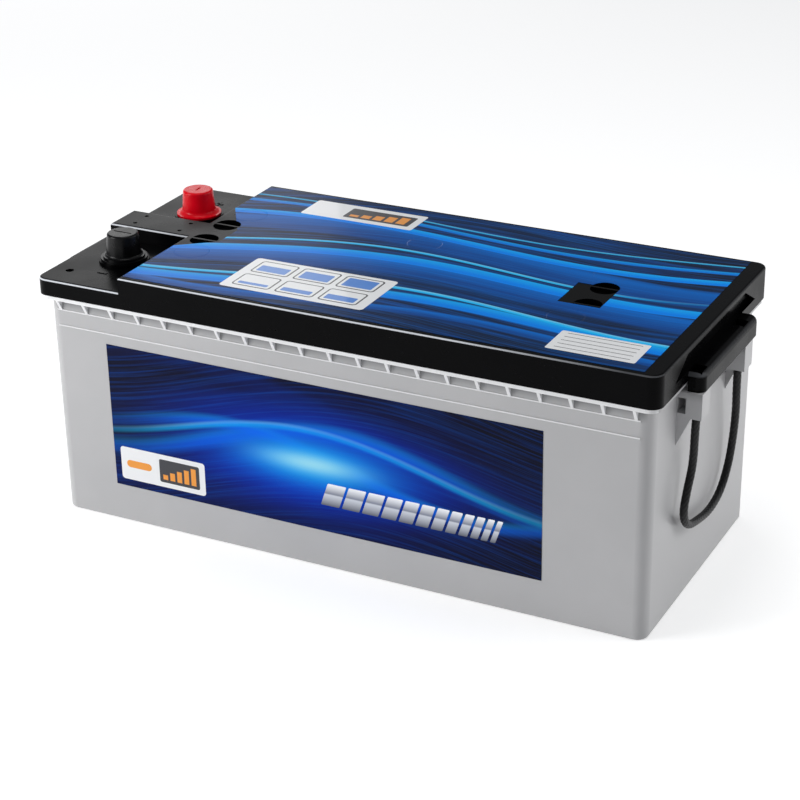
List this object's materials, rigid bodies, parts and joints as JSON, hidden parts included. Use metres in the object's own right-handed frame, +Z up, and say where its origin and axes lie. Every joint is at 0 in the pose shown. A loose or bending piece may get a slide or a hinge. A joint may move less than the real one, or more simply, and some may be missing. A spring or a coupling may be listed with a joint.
{
  "type": "sealed lead-acid battery",
  "caption": "Large sealed deep cycle battery: grey ribbed case, black stepped lid, capped tapered terminals at one end, and a swinging rope handle under a ledge at each end.",
  "frame": {"origin": "centre of the base, on the surface it stands on", "axes": "+X along the length away from the terminals, +Y across the width to the positive terminal's side, +Z up"},
  "size_m": [0.513, 0.223, 0.2141],
  "materials": {
    "grey_polypropylene": "satin",
    "black_polypropylene": "satin gloss",
    "black_rubber": "matte",
    "lead": "dull metal",
    "sintered_disc": "porous matte",
    "printed_film": "gloss",
    "braided_rope": "matte weave",
    "black_cap": "satin",
    "red_cap": "satin gloss",
    "lead_dioxide": "matte",
    "spongy_lead": "matte",
    "glass_mat": "matte felt"
  },
  "bodies": {
    "battery": {"case": "grey_polypropylene", "lid": "black_polypropylene", "valve_gaskets": "black_rubber", "intercell_welds": "lead", "flame_arrestor": "sintered_disc", "top_label": "printed_film", "front_label": "printed_film", "cell_1_positive_plates": "lead_dioxide", "cell_1_negative_plates": "spongy_lead", "cell_1_glass_mats": "glass_mat", "cell_2_positive_plates": "lead_dioxide", "cell_2_negative_plates": "spongy_lead", "cell_2_glass_mats": "glass_mat", "cell_3_positive_plates": "lead_dioxide", "cell_3_negative_plates": "spongy_lead", "cell_3_glass_mats": "glass_mat", "cell_4_positive_plates": "lead_dioxide", "cell_4_negative_plates": "spongy_lead", "cell_4_glass_mats": "glass_mat", "cell_5_positive_plates": "lead_dioxide", "cell_5_negative_plates": "spongy_lead", "cell_5_glass_mats": "glass_mat", "cell_6_positive_plates": "lead_dioxide", "cell_6_negative_plates": "spongy_lead", "cell_6_glass_mats": "glass_mat", "valve_plug_1": "black_polypropylene", "valve_rubber_1": "black_rubber", "valve_plug_2": "black_polypropylene", "valve_rubber_2": "black_rubber", "valve_plug_3": "black_polypropylene", "valve_rubber_3": "black_rubber", "valve_plug_4": "black_polypropylene", "valve_rubber_4": "black_rubber", "valve_plug_5": "black_polypropylene", "valve_rubber_5": "black_rubber", "valve_plug_6": "black_polypropylene", "valve_rubber_6": "black_rubber", "negative_bushing": "lead", "positive_bushing": "lead", "negative_post": "lead", "positive_post": "lead", "left_rope_ends": "braided_rope", "right_rope_ends": "braided_rope"},
    "negative_cover": {"negative_cap": "black_cap"},
    "positive_cover": {"positive_cap": "red_cap"},
    "left_handle": {"left_rope": "braided_rope"},
    "right_handle": {"right_rope": "braided_rope"}
  },
  "joints": [
    {"name": "negative_cap_lift", "type": "slide", "parent": "battery", "child": "negative_cover", "axis": [0, 0, 1], "range_m": [0, 0.03]},
    {"name": "positive_cap_lift", "type": "slide", "parent": "battery", "child": "positive_cover", "axis": [0, 0, 1], "range_m": [0, 0.03]},
    {"name": "left_handle_swing", "type": "hinge", "parent": "battery", "child": "left_handle", "pos_m": [-0.2496, 0, 0.1492], "axis": [0, 1, 0], "range_deg": [0, 88]},
    {"name": "right_handle_swing", "type": "hinge", "parent": "battery", "child": "right_handle", "pos_m": [0.2496, 0, 0.1492], "axis": [0, -1, 0], "range_deg": [0, 88]}
  ]
}
